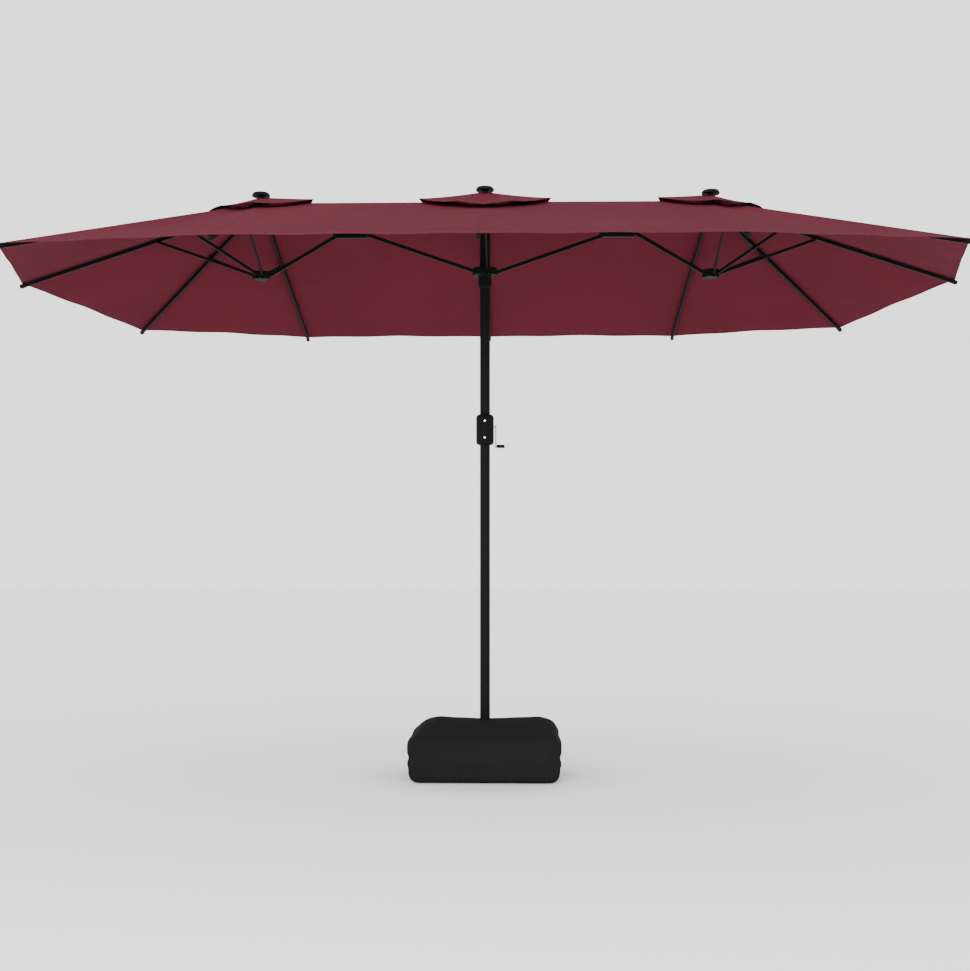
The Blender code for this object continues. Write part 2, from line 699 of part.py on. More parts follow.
def build_canopy():
    """One closed sheet over all the ribs, open under the three vent caps."""
    made = bmesh.new()
    edges = []
    for drop in (0, CLOTH):
        ridge = {}
        rings = []
        for share in (0, 0.5, 1):
            ring = []
            for point in edge_points():
                top = over_ridge(point)
                if share:
                    ring.append(made.verts.new(top.lerp(point, share) - UP * drop))
                else:
                    place = round(top.x, 4)
                    ridge[place] = ridge.get(place) or made.verts.new(top - UP * drop)
                    ring.append(ridge[place])
            rings.append(ring)
        bridge(made, rings[1], rings[2])
        fan_in(made, rings[0], rings[1])
        edges.append(rings[2])
    bridge(made, *edges)
    canopy = add_object("canopy", made, colour=CLOTH_RED, roughness=0.9, metallic=0)
    holes = [placed(rod(VENT_HOLE_R, 1, HUB_Z - 0.5, 32), Matrix.Translation((x, 0, 0))) for x in (-HEAD_X, 0, HEAD_X)]
    boolean(canopy, "DIFFERENCE", *holes)


def fan_in(made, ridge, ring):
    """Faces between a ring and the ridge, where neighbours may share one ridge vertex."""
    for i, low in enumerate(ring):
        j = (i + 1) % len(ring)
        corners = [ridge[i], low, ring[j]]
        if ridge[j] is not ridge[i]:
            corners.append(ridge[j])
        made.faces.new(corners)


def build_vent(name, x, half_widths, cap_rise):
    """A small roof over an opening. It climbs to its cap, and its lower edges are lifted clear."""
    wide, deep = half_widths
    stem = 0.0145
    climb = HUB_Z + cap_rise - 0.024 - RIDGE_Z - VENT_LIFT
    made = bmesh.new()
    layers = []
    for drop in (0, CLOTH):
        rings = []
        for share in (0, 0.1, 0.25, 0.5, 1):
            ring = []
            for k in range(32):
                angle = math.tau * k / 32
                reach = 1 / (abs(math.cos(angle)) ** 1.4 + abs(math.sin(angle)) ** 1.4) ** (1 / 1.4)
                outer = Vector((wide * reach * math.cos(angle), deep * reach * math.sin(angle), 0))
                inner = Vector((stem * math.cos(angle), stem * math.sin(angle), 0))
                spot = inner.lerp(outer, share)
                spot.z = RIDGE_Z + VENT_LIFT - drop - vent_fall(x, spot) + climb * (1 - share) ** 1.6
                ring.append(made.verts.new(spot + Vector((x, 0, 0))))
            rings.append(ring)
        for first, second in zip(rings, rings[1:]):
            bridge(made, first, second)
        layers.append(rings)
    bridge(made, layers[0][0], layers[1][0])
    bridge(made, layers[0][-1], layers[1][-1])
    add_object(f"{name}_vent", made, (x, 0, HUB_Z), CLOTH_RED, 0.9, 0)


def vent_fall(x, spot):
    """How far the cloth below has dropped from the ridge at a spot given from the head's axis."""
    slope_y = (RIDGE_Z - SIDE_TIP_Z) / (SPAN_Y / 2)
    slope_x = (RIDGE_Z - END_TIP_Z) / (SPAN_X / 2 - HEAD_X)
    beyond = max(0, spot.x * math.copysign(1, x)) if x else 0
    return max(abs(spot.y) * slope_y, math.hypot(beyond * slope_x, spot.y * slope_y))


def main():
    clear_scene()
    build_bag()
    build_cross()
    build_socket()
    build_poles()
    build_housing()
    build_crank()
    build_pulley()
    build_centre_head()
    for name, side in SIDES.items():
        build_arm(name, side)
        build_side_head(name, side)
    build_canopy()
    for name, x, widths in (("centre", 0, CENTRE_VENT), ("right", HEAD_X, SIDE_VENT), ("left", -HEAD_X, SIDE_VENT)):
        build_vent(name, x, widths, CAP_RISE if x else CENTRE_CAP_RISE)


main()
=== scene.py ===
"""Looks of the three-headed patio umbrella: cloth, weight bag, finishes and stage."""

import logging
import math
from dataclasses import dataclass, field
from enum import Enum

import bmesh
import bpy
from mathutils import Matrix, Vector


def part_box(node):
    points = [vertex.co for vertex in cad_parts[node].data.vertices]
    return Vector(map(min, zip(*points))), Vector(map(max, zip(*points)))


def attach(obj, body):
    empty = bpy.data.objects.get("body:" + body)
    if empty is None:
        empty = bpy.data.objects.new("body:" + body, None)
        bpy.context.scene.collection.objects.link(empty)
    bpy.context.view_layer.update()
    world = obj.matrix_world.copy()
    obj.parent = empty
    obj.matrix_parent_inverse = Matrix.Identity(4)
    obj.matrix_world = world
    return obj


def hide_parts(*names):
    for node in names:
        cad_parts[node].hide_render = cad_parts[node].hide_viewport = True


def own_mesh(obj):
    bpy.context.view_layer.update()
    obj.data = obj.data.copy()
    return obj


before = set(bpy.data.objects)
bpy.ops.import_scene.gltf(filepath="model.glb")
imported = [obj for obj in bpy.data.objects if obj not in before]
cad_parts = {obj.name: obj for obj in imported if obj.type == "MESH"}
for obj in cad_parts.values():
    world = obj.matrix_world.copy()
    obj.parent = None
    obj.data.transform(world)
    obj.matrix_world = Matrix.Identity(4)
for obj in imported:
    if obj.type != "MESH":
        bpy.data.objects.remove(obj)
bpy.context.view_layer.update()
LOG = logging.getLogger("umbrella")
SLUB_STRETCH, SLUB_SCALE = 14, 9.0
PATCH_SCALE = 14.0
Socket = bpy.types.NodeSocket


class Weave(Enum):
    """How a cloth's threads cross."""

    CANVAS = "canvas"
    OXFORD = "oxford"


# --- shared effects --------------------------------------------------------
class Nodes:
    """A short way to write a node tree."""

    def __init__(self, tree: bpy.types.NodeTree) -> None:
        """Keeps the tree that nodes are added to."""
        self.tree = tree

    def add(self, kind: str, **values: object) -> bpy.types.Node:
        """Adds a node.

        Args:
            kind: The node's type, without its ShaderNode prefix.
            **values: Properties of the node.

        Returns:
            The new node.
        """
        node = self.tree.nodes.new("ShaderNode" + kind)
        for name, value in values.items():
            setattr(node, name, value)
        return node

    def feed(self, socket: Socket, value: object) -> None:
        """Links or sets an input.

        Args:
            socket: The input.
            value: An output to link, or a plain value.
        """
        if isinstance(value, bpy.types.NodeSocket):
            self.tree.links.new(value, socket)
        elif value is not None:
            socket.default_value = value

    def math(self, operation: str, a: object, b: object = None) -> Socket:
        """Adds a maths node.

        Args:
            operation: What the node works out.
            a: The first input, as an output to link or a value.
            b: The second input, if the operation has one.

        Returns:
            The node's output.
        """
        node = self.add("Math", operation=operation)
        self.feed(node.inputs[0], a)
        self.feed(node.inputs[1], b)
        return node.outputs[0]

    def noise(self, place: Socket, scale: float, detail: float) -> Socket:
        """Adds a noise texture.

        Args:
            place: Where the texture is read.
            scale: How fine its patches are.
            detail: How many finer layers it has.

        Returns:
            The node's grey output.
        """
        node = self.add("TexNoise")
        self.feed(node.inputs["Vector"], place)
        self.feed(node.inputs["Scale"], scale)
        self.feed(node.inputs["Detail"], detail)
        return node.outputs["Fac"]

    def mix(self, share: object, first: object, second: object) -> Socket:
        """Mixes two colours.

        Args:
            share: How much of the second colour there is, from 0 to 1.
            first: The first colour.
            second: The second colour.

        Returns:
            The mixed colour.
        """
        node = self.add("Mix", data_type="RGBA")
        self.feed(node.inputs[0], share)
        self.feed(node.inputs[6], first)
        self.feed(node.inputs[7], second)
        return node.outputs[2]

    def band(self, value: Socket, low: float, high: float) -> Socket:
        """Maps a value smoothly to the range from 0 to 1.

        Args:
            value: The value to map.
            low: What becomes 0.
            high: What becomes 1.

        Returns:
            The mapped value.
        """
        node = self.add("MapRange", interpolation_type="SMOOTHSTEP")
        self.feed(node.inputs["Value"], value)
        self.feed(node.inputs["From Min"], low)
        self.feed(node.inputs["From Max"], high)
        return node.outputs["Result"]


def new_group(
    name: str, inputs: dict[str, str], outputs: dict[str, str]
) -> bpy.types.NodeTree:
    """Makes an empty shader node group.

    Args:
        name: The group's name.
        inputs: Each input's name and socket type, without the NodeSocket prefix.
        outputs: The same for the outputs.

    Returns:
        The group's tree, with its input and output nodes added.
    """
    tree = bpy.data.node_groups.new(name, "ShaderNodeTree")
    for way, sockets in (("INPUT", inputs), ("OUTPUT", outputs)):
        for label, kind in sockets.items():
            tree.interface.new_socket(
                label, in_out=way, socket_type="NodeSocket" + kind
            )
    tree.nodes.new("NodeGroupInput")
    tree.nodes.new("NodeGroupOutput")
    return tree


def thread_group(weave: Weave) -> bpy.types.NodeTree:
    """Crossed threads, read from a map in metres, as a height and a slub mask.

    Args:
        weave: Canvas has single threads, and oxford has threads in pairs.

    Returns:
        The node group.
    """
    tree = new_group(
        f"threads {weave.value}",
        {"Map": "Vector", "Pitch": "Float"},
        {"Height": "Float", "Slub": "Float"},
    )
    nodes = Nodes(tree)
    ends, out = tree.nodes["Group Input"], tree.nodes["Group Output"]
    split = nodes.add("SeparateXYZ")
    nodes.feed(split.inputs[0], ends.outputs["Map"])
    turns = nodes.math("DIVIDE", math.tau, ends.outputs["Pitch"])
    pair = 0.5 if weave is Weave.OXFORD else 1.0
    warp = nodes.math("SINE", nodes.math("MULTIPLY", split.outputs[0], turns))
    paired = nodes.math("MULTIPLY", split.outputs[1], pair)
    weft = nodes.math("SINE", nodes.math("MULTIPLY", paired, turns))
    crossed = nodes.math("MULTIPLY", warp, weft)
    nodes.feed(out.inputs["Height"], nodes.math("MULTIPLY_ADD", crossed, 0.5))
    stretch = nodes.add("Mapping")
    nodes.feed(stretch.inputs["Vector"], ends.outputs["Map"])
    stretch.inputs["Scale"].default_value = (1, SLUB_STRETCH, 1)
    nodes.feed(out.inputs["Slub"], nodes.noise(stretch.outputs[0], SLUB_SCALE, 4.0))
    return tree


def grain_group() -> bpy.types.NodeTree:
    """Fine pits and broad patches on a hard surface, as a height and a patch mask.

    Returns:
        The node group.
    """
    tree = new_group(
        "coat grain",
        {"Place": "Vector", "Grain": "Float"},
        {"Height": "Float", "Patch": "Float"},
    )
    nodes = Nodes(tree)
    ends, out = tree.nodes["Group Input"], tree.nodes["Group Output"]
    place = ends.outputs["Place"]
    nodes.feed(out.inputs["Height"], nodes.noise(place, ends.outputs["Grain"], 3.0))
    nodes.feed(out.inputs["Patch"], nodes.noise(place, PATCH_SCALE, 3.0))
    return tree


def group_node(
    nodes: Nodes, tree: bpy.types.NodeTree, **values: object
) -> bpy.types.Node:
    """Places a group and feeds its inputs by name.

    Args:
        nodes: Where the group is placed.
        tree: The group's own tree.
        **values: What each named input is fed.

    Returns:
        The group's node.
    """
    node = nodes.add("Group", node_tree=tree)
    for label, value in values.items():
        nodes.feed(node.inputs[label], value)
    return node


# --- finishes --------------------------------------------------------------
@dataclass(frozen=True)
class Coat:
    """A hard finish: powder coat, moulded plastic or plated steel."""

    name: str
    colour: tuple[float, float, float]
    roughness: float
    metallic: float = 0.0
    grain: float = 900.0
    depth: float = 0.00006
    gloss: float = 0.2
    wear: tuple[float, float, float] = (0.008, 0.008, 0.0085)
    uneven: float = 0.16
    worn: float = 0.35

    def material(self, grain: bpy.types.NodeTree) -> bpy.types.Material:
        """Builds the material.

        Args:
            grain: The shared grain group.

        Returns:
            The material.
        """
        made = bpy.data.materials.new(self.name)
        made.use_nodes = True
        nodes = Nodes(made.node_tree)
        shader = made.node_tree.nodes["Principled BSDF"]
        place = nodes.add("TexCoord").outputs["Object"]
        effect = group_node(nodes, grain, Place=place, Grain=self.grain)
        patch = nodes.band(effect.outputs["Patch"], 0.35, 0.75)
        worn = nodes.math("MULTIPLY", patch, self.worn)
        colour = nodes.mix(worn, (*self.colour, 1), (*self.wear, 1))
        nodes.feed(shader.inputs["Base Color"], colour)
        rough = nodes.math("MULTIPLY_ADD", effect.outputs["Patch"], self.uneven)
        rough.node.inputs[2].default_value = self.roughness - self.uneven / 2
        nodes.feed(shader.inputs["Roughness"], rough)
        shader.inputs["Metallic"].default_value = self.metallic
        shader.inputs["Specular IOR Level"].default_value = self.gloss
        bump = nodes.add("Bump")
        bump.inputs["Distance"].default_value = self.depth
        nodes.feed(bump.inputs["Height"], effect.outputs["Height"])
        nodes.feed(shader.inputs["Normal"], bump.outputs[0])
        return made


@dataclass(frozen=True)
class Cloth:
    """A woven finish with sewn seams, read from a piece's map and edge distances."""

    name: str
    colour: tuple[float, float, float]
    thread: tuple[float, float, float]
    weave: Weave
    pitch: float
    gloss: float
    hem_fold: tuple[float, float] = (0.0255, 0.0235)
    seam_fold: tuple[float, float] = (0.0085, 0.0065)
    hem_stitch: float = 0.021
    seam_stitch: float = 0.005
    stitch_length: float = 0.0045
    stitch_half: float = 0.0006
    stitch_share: float = 0.68
    stitch_shade: float = 0.6
    stitch_depth: float = 0.5
    dark: float = 0.92
    light: float = 1.04
    slub: float = 0.22
    fold_shade: float = 0.30
    fold_height: float = 0.5
    weave_height: float = 0.12
    slack_height: float = 0.9
    patch_scale: float = 1.6
    slack_scale: float = 7.0
    roughness: float = 0.95
    bump_depth: float = 0.0016
    bump_strength: float = 0.6

    def material(self, threads: bpy.types.NodeTree) -> bpy.types.Material:
        """Builds the material.

        Args:
            threads: The thread group for this weave.

        Returns:
            The material.
        """
        made = bpy.data.materials.new(self.name)
        made.use_nodes = True
        nodes = Nodes(made.node_tree)
        shader = made.node_tree.nodes["Principled BSDF"]
        flat = nodes.add("UVMap", uv_map="cloth").outputs[0]
        place = nodes.add("TexCoord").outputs["Object"]
        effect = group_node(nodes, threads, Map=flat, Pitch=self.pitch)
        broad = nodes.noise(place, self.patch_scale, 3.0)
        dark = tuple(c * self.dark for c in self.colour)
        light = tuple(min(1.0, c * self.light) for c in self.colour)
        body = nodes.mix(nodes.band(broad, 0.35, 0.7), (*dark, 1), (*light, 1))
        slubs = nodes.math("MULTIPLY", effect.outputs["Slub"], self.slub)
        body = nodes.mix(slubs, body, (*dark, 1))
        hem = nodes.add("Attribute", attribute_name="hem").outputs["Fac"]
        seam = nodes.add("Attribute", attribute_name="seam").outputs["Fac"]
        hem_band = nodes.band(hem, *self.hem_fold)
        folded = nodes.math("MAXIMUM", hem_band, nodes.band(seam, *self.seam_fold))
        shaded = nodes.math("MULTIPLY", folded, self.fold_shade)
        body = nodes.mix(shaded, body, (*dark, 1))
        hem_row = self._row(nodes, hem, flat, 0, self.hem_stitch)
        seam_row = self._row(nodes, seam, flat, 1, self.seam_stitch)
        stitch = nodes.math("MAXIMUM", hem_row, seam_row)
        shown = nodes.math("MULTIPLY", stitch, self.stitch_shade)
        sewn = nodes.mix(shown, body, (*self.thread, 1))
        nodes.feed(shader.inputs["Base Color"], sewn)
        shader.inputs["Roughness"].default_value = self.roughness
        shader.inputs["Specular IOR Level"].default_value = self.gloss
        woven = nodes.math("MULTIPLY", effect.outputs["Height"], self.weave_height)
        raised = nodes.math("MULTIPLY", folded, self.fold_height)
        height = nodes.math("ADD", woven, raised)
        loose = nodes.noise(place, self.slack_scale, 2.0)
        slack = nodes.math("MULTIPLY", loose, self.slack_height)
        height = nodes.math("ADD", height, slack)
        sunk = nodes.math("MULTIPLY", stitch, self.stitch_depth)
        height = nodes.math("SUBTRACT", height, sunk)
        bump = nodes.add("Bump")
        bump.inputs["Distance"].default_value = self.bump_depth
        bump.inputs["Strength"].default_value = self.bump_strength
        nodes.feed(bump.inputs["Height"], height)
        nodes.feed(shader.inputs["Normal"], bump.outputs[0])
        return made

    def _row(
        self, nodes: Nodes, distance: Socket, flat: Socket, axis: int, at: float
    ) -> Socket:
        """A row of stitches beside an edge, as a mask of dashes.

        Args:
            nodes: Where the row is added.
            distance: The distance from the edge, in metres.
            flat: The cloth's map, in metres.
            axis: The map's axis that the row follows.
            at: How far from the edge the row lies.

        Returns:
            The mask, which is 1 on a stitch.
        """
        split = nodes.add("SeparateXYZ")
        nodes.feed(split.inputs[0], flat)
        count = nodes.math("DIVIDE", split.outputs[axis], self.stitch_length)
        dash = nodes.math("LESS_THAN", nodes.math("FRACT", count), self.stitch_share)
        gap = nodes.math("ABSOLUTE", nodes.math("SUBTRACT", distance, at))
        near = nodes.math("LESS_THAN", gap, self.stitch_half)
        return nodes.math("MULTIPLY", dash, near)


# --- cloth sheets ----------------------------------------------------------
@dataclass
class Rib:
    """A rib, or an arm, that cloth lies on."""

    body: str
    root: Vector
    tip: Vector

    @property
    def along(self) -> Vector:
        """The direction from root to tip."""
        return (self.tip - self.root).normalized()


@dataclass
class Canopy:
    """The sewn canopy over all three heads, cut where it creases in folding."""

    cloth: bpy.types.Material
    head_x: float = 1.077
    ridge_z: float = 2.7488
    side_tip: tuple[float, float, float] = (1.041, 1.225, 2.300)
    corner_tip: tuple[float, float, float] = (1.956, 1.040, 2.314)
    end_tip: tuple[float, float, float] = (2.245, 0.0, 2.365)
    reach: float = 0.009
    scallop: float = 0.013
    end_scallop: float = 0.004
    sag: float = 0.012
    ripple: float = 0.0025
    opening: float = 0.130
    vent_lift: float = 0.019
    centre_vent: tuple[float, float] = (0.318, 0.288)
    side_vent: tuple[float, float] = (0.252, 0.240)
    side_reach: float = 0.290
    notch: float = 0.016
    stem: float = 0.017
    vent_rows: int = 11
    hem_rise: float = 0.0025
    flap: float = 0.009
    thick: float = 0.0012
    across_steps: int = 9
    down_steps: int = 16
    search_steps: int = 400
    hem_rows: tuple[float, ...] = (0.026, 0.0235, 0.002)
    hem_fold: float = 0.0245
    hem_thick: float = 0.0007
    ripples: float = 2.5
    vent_steps: int = 6
    vent_corner: float = 1.4
    vent_curve: float = 1.6
    vent_crowding: float = 1.3
    vent_seam: float = 0.02
    notch_spread: float = math.radians(4)
    flap_spread: float = math.radians(16)
    same_head: float = 0.1
    crease: float = math.radians(50)
    pleat: float = math.radians(20)
    keep: float = 0.10
    curtain: float = 0.14
    gathered: float = 0.22
    pieces: list[bpy.types.Object] = field(default_factory=list)

    def build(self) -> None:
        """Makes every sheet of the canopy and of its vent caps."""
        for side in (1, -1):
            for front in (1, -1):
                self._quarter(side, front)
        LOG.info("canopy: %d sheets", len(self.pieces))

    def _quarter(self, side: int, front: int) -> None:
        """Makes the sheets of one quarter.

        Args:
            side: 1 for the right head, -1 for the left.
            front: 1 for the back, -1 for the front.
        """
        name = "right" if side > 0 else "left"
        face = "back" if front > 0 else "front"
        apex = Vector((side * self.head_x, 0, self.ridge_z))
        centre = Vector((0, 0, self.ridge_z))
        mirror = Vector((side, front, 1))
        ribs = [
            Rib(f"{name}_end_rib", apex, Vector(self.end_tip) * mirror),
            Rib(f"{name}_{face}_corner_rib", apex, Vector(self.corner_tip) * mirror),
            Rib(f"{name}_{face}_rib", apex, Vector(self.side_tip) * mirror),
            Rib(
                f"centre_{face}_rib",
                centre,
                Vector((0, self.side_tip[1], self.side_tip[2])) * mirror,
            ),
        ]
        label = f"{name}_{face}"
        self._gore(f"{label}_gore_1", ribs[0], ribs[1])
        self._gore(f"{label}_gore_2", ribs[1], ribs[2])
        self._panel(label, name, ribs[2], ribs[3])

    def _surface(self, first: Rib, second: Rib, u: float, v: float) -> Vector:
        """A point of the cloth between two ribs, in metres.

        Args:
            first: The rib at u 0.
            second: The rib at u 1.
            u: Share of the way across, from rib to rib.
            v: Share of the way down, from the ridge to the edge.

        Returns:
            The point.
        """
        top = first.root.lerp(second.root, u)
        low_a = first.tip - first.along * self.reach
        low_b = second.tip - second.along * self.reach
        low = low_a.lerp(low_b, u)
        inwards = first.root + second.root - first.tip - second.tip
        inwards.z = 0
        arch = 4 * u * (1 - u)
        curve = self.end_scallop if first.body.endswith("end_rib") else self.scallop
        low = low + inwards.normalized() * curve * arch
        point = top.lerp(low, v)
        point.z -= self.sag * arch * math.sin(math.pi * v)
        wave = math.sin(math.tau * self.ripples * u)
        point.z += arch * (self.hem_rise * v**2 + self.ripple * v**6 * wave)
        return point

    def _start(self, first: Rib, second: Rib, u: float) -> float:
        """Finds where cloth starts, outside the vent openings.

        Args:
            first: The rib at u 0.
            second: The rib at u 1.
            u: Share of the way across.

        Returns:
            The share of the way down.
        """
        heads = (-self.head_x, 0, self.head_x)
        for n in range(self.search_steps):
            share = n / self.search_steps
            point = self._surface(first, second, u, share)
            if min(math.hypot(point.x - x, point.y) for x in heads) >= self.opening:
                return share
        return 1.0

    def _gore(self, name: str, first: Rib, second: Rib) -> None:
        """Makes the two halves of a gore, one on each rib.

        Args:
            name: The gore's name.
            first: The rib on one side.
            second: The rib on the other.
        """
        for label, rib, low, high in (("a", first, 0.0, 0.5), ("b", second, 0.5, 1.0)):
            grid = self._grid(first, second, low, high)
            self._finish(f"{name}{label}", grid, first, second, rib, "canopy")
            vent = self._vent_grid(first, second, low, high)
            head = "right_vent" if first.root.x > 0 else "left_vent"
            self._finish(f"{name}{label}_vent", vent, first, second, rib, head)

    def _panel(self, label: str, name: str, first: Rib, second: Rib) -> None:
        """Makes the long panel between a side head and the centre, in three widths.

        The outer two ride on their ribs, and the middle one hangs from the arm.

        Args:
            label: The quarter's name.
            name: The side head's name.
            first: The side head's rib.
            second: The centre rib.
        """
        arm = Rib(f"{name}_arm", second.root, first.root)
        cut = self.gathered
        for part, rib, low, high in (
            ("side", first, 0.0, cut),
            ("middle", arm, cut, 1 - cut),
            ("centre", second, 1 - cut, 1.0),
        ):
            grid = self._grid(first, second, low, high)
            self._finish(f"{label}_panel_{part}", grid, first, second, rib, "canopy")
        for part, head, rib, low, high in (
            ("vent", f"{name}_vent", first, 0.0, 0.5),
            ("centre_vent", "centre_vent", second, 0.5, 1.0),
        ):
            grid = self._vent_grid(first, second, low, high)
            self._finish(f"{label}_{part}", grid, first, second, rib, head)

    def _grid(
        self, first: Rib, second: Rib, low: float, high: float
    ) -> list[list[tuple]]:
        """Points of a part of the canopy, from the vent openings down to the hem.

        Args:
            first: The rib at u 0.
            second: The rib at u 1.
            low: Where the part starts across.
            high: Where it stops across.

        Returns:
            Columns of (point, u, v, hem distance, seam distance, length).
        """
        columns = []
        steps = max(2, round(self.across_steps * (high - low) * 2))
        for i in range(steps + 1):
            u = low + (high - low) * i / steps
            begin = self._start(first, second, u)
            edge = self._surface(first, second, u, 1)
            length = (edge - self._surface(first, second, u, 0)).length
            tail = [1 - d / length for d in self.hem_rows]
            count = self.down_steps
            shares = [begin + (tail[0] - begin) * n / count for n in range(count)]
            column = []
            for v in [*shares, *tail, 1.0]:
                point = self._surface(first, second, u, v)
                hem = (1 - v) * length
                if hem < self.hem_fold:
                    point.z += self.hem_thick
                seam = min(self._off(point, first), self._off(point, second))
                column.append((point, u, v, hem, seam, length))
            columns.append(column)
        return columns

    def _vent_grid(
        self, first: Rib, second: Rib, low: float, high: float
    ) -> list[list[tuple]]:
        """Points of a vent cap's sheet over the opening between two ribs.

        Args:
            first: The rib at u 0.
            second: The rib at u 1.
            low: Where the part starts across.
            high: Where it stops across.

        Returns:
            Columns of (point, u, share out, hem distance, seam distance, radius).
        """
        columns = []
        steps = self.vent_steps
        centre = high > 0.5 and self._apart(first, second)
        head = 0.0 if centre else first.root.x
        inner, deep = self.centre_vent if head == 0 else self.side_vent
        power = self.vent_corner
        for i in range(steps + 1):
            u = low + (high - low) * i / steps
            angle = self._bearing(first, second, u, head)
            out = Vector((math.cos(angle), math.sin(angle), 0))
            c, s = abs(out.x), abs(out.y)
            wide = self.side_reach if out.x * head > 0 else inner
            radius = 1 / ((c / wide) ** power + (s / deep) ** power) ** (1 / power)
            near = min(abs(self._turn(angle, b)) for b in self._notches(head))
            notch = self.notch * math.exp(-((near / self.notch_spread) ** 2))
            lift = self.flap * math.exp(-((near / self.flap_spread) ** 2))
            column = []
            for n in range(self.vent_rows + 1):
                share = (n / self.vent_rows) ** self.vent_crowding
                r = self.stem + (radius - notch - self.stem) * share
                spot = Vector((head, 0, 0)) + out * r
                rise = max(0.0, 1 - r / radius) ** self.vent_curve
                z = self._roof(spot, head) + self.vent_lift + self._climb(head) * rise
                z += lift * share**4
                point = Vector((spot.x, spot.y, z))
                hem = (1 - share) * radius
                column.append((point, u, share, hem, self.vent_seam, radius))
            columns.append(column)
        return columns

    def _apart(self, first: Rib, second: Rib) -> bool:
        """Whether two ribs are on different heads."""
        return abs(first.root.x - second.root.x) > self.same_head

    def _bearing(self, first: Rib, second: Rib, u: float, head: float) -> float:
        """Finds the direction of a vent sheet's column from its head's axis.

        Args:
            first: The rib at u 0.
            second: The rib at u 1.
            u: Share of the way across.
            head: The head's place along the umbrella.

        Returns:
            The direction in radians.
        """
        ends = []
        for rib in (first, second):
            own_rib = abs(rib.root.x - head) < self.same_head
            towards = rib.tip if own_rib else Vector((rib.root.x, 0, 0))
            ends.append(math.atan2(towards.y, towards.x - head))
        if self._apart(first, second):
            own, arm = (ends[0], ends[1]) if head else (ends[1], ends[0])
            share = u * 2 if head else (1 - u) * 2
            return own + self._turn(own, arm) * min(1.0, share)
        return ends[0] + self._turn(ends[0], ends[1]) * u

    @staticmethod
    def _notches(head: float) -> list[float]:
        """Finds where a vent cap's hem is notched between two flaps.

        Args:
            head: The head's place along the umbrella.

        Returns:
            The directions in radians.
        """
        degrees = (63, 117, -63, -117)
        if head > 0:
            degrees = (92, -92, 38, -38)
        elif head < 0:
            degrees = (88, -88, 142, -142)
        return [math.radians(d) for d in degrees]

    def _climb(self, head: float) -> float:
        """How far a vent cap rises to its knob above the roof's own slope."""
        node = "right_vent" if head > 0 else "left_vent" if head < 0 else "centre_vent"
        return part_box(node)[1][2] - self.ridge_z - self.vent_lift

    @staticmethod
    def _turn(start: float, end: float) -> float:
        """The shorter turn between two directions."""
        return (end - start + math.pi) % math.tau - math.pi

    def _roof(self, spot: Vector, head: float) -> float:
        """Finds the height of the canopy's cloth under a point near a head.

        Args:
            spot: The point.
            head: The head's place along the umbrella.

        Returns:
            The height in metres.
        """
        slope = (self.ridge_z - self.side_tip[2]) / self.side_tip[1]
        fall = (self.ridge_z - self.end_tip[2]) / (self.end_tip[0] - self.head_x)
        beyond = max(0.0, abs(spot.x) - abs(head)) if head else 0.0
        return self.ridge_z - math.hypot(beyond * fall, spot.y * slope)

    @staticmethod
    def _off(point: Vector, rib: Rib) -> float:
        """A point's distance from a rib's line."""
        return (point - rib.root).cross(rib.along).length

    def _finish(
        self, name: str, grid: list, first: Rib, second: Rib, rib: Rib, node: str
    ) -> None:
        """Makes a sheet from its grid, and lets it ride on its rib.

        Args:
            name: The sheet's name.
            grid: Columns of points with their values.
            first: The rib at u 0.
            second: The rib at u 1.
            rib: What the sheet rides on.
            node: The CAD node that it stands for.
        """
        mesh = bmesh.new()
        flat = mesh.loops.layers.uv.new("cloth")
        hem_layer = mesh.verts.layers.float.new("hem")
        seam_layer = mesh.verts.layers.float.new("seam")
        rows = [[mesh.verts.new(cell[0]) for cell in column] for column in grid]
        cells = {
            v: cell
            for row, column in zip(rows, grid)
            for v, cell in zip(row, column)
        }
        for v, (_, _, _, hem, seam, _) in cells.items():
            v[hem_layer], v[seam_layer] = hem, seam
        width = (first.tip - second.tip).length
        for left, right in zip(rows, rows[1:]):
            for n in range(len(left) - 1):
                corners = [left[n], left[n + 1], right[n + 1], right[n]]
                made = mesh.faces.new(corners)
                for loop in made.loops:
                    _, u, v, _, _, length = cells[loop.vert]
                    loop[flat].uv = (u * width, v * length)
        bmesh.ops.remove_doubles(mesh, verts=mesh.verts, dist=1e-6)
        bmesh.ops.recalc_face_normals(mesh, faces=mesh.faces)
        if sum(f.normal.z for f in mesh.faces) < 0:
            bmesh.ops.reverse_faces(mesh, faces=mesh.faces)
        facing = sum((f.normal * f.calc_area() for f in mesh.faces), Vector())
        data = bpy.data.meshes.new(name)
        mesh.to_mesh(data)
        mesh.free()
        sheet = bpy.data.objects.new(name, data)
        bpy.context.scene.collection.objects.link(sheet)
        data.materials.append(self.cloth)
        skin = sheet.modifiers.new("cloth thickness", "SOLIDIFY")
        skin.thickness, skin.offset = self.thick, -1
        select_only(sheet)
        bpy.ops.object.modifier_apply(modifier=skin.name)
        data.shade_smooth()
        data.set_sharp_from_angle(angle=self.crease)
        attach(sheet, rib.body)
        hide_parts(node)
        self._gather(sheet, rib)
        self.pieces.append(sheet)

    def _gather(self, sheet: bpy.types.Object, rib: Rib) -> None:
        """Finds which side of its rib a sheet lies on, and gives the sheet its own
        copy of its mesh.

        Args:
            sheet: The sheet.
            rib: The rib or arm that it rides on.
        """
        verts = sheet.data.vertices
        centre = sum((v.co for v in verts), Vector()) / len(verts)
        along = rib.along
        up = (Vector((0, 0, 1)) - along * along.z).normalized()
        lateral = along.cross(up)
        if (centre - rib.root).dot(lateral) < 0:
            lateral = -lateral
        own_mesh(sheet)


def select_nothing() -> None:
    """Clears the selection."""
    for other in bpy.context.selected_objects:
        other.select_set(False)


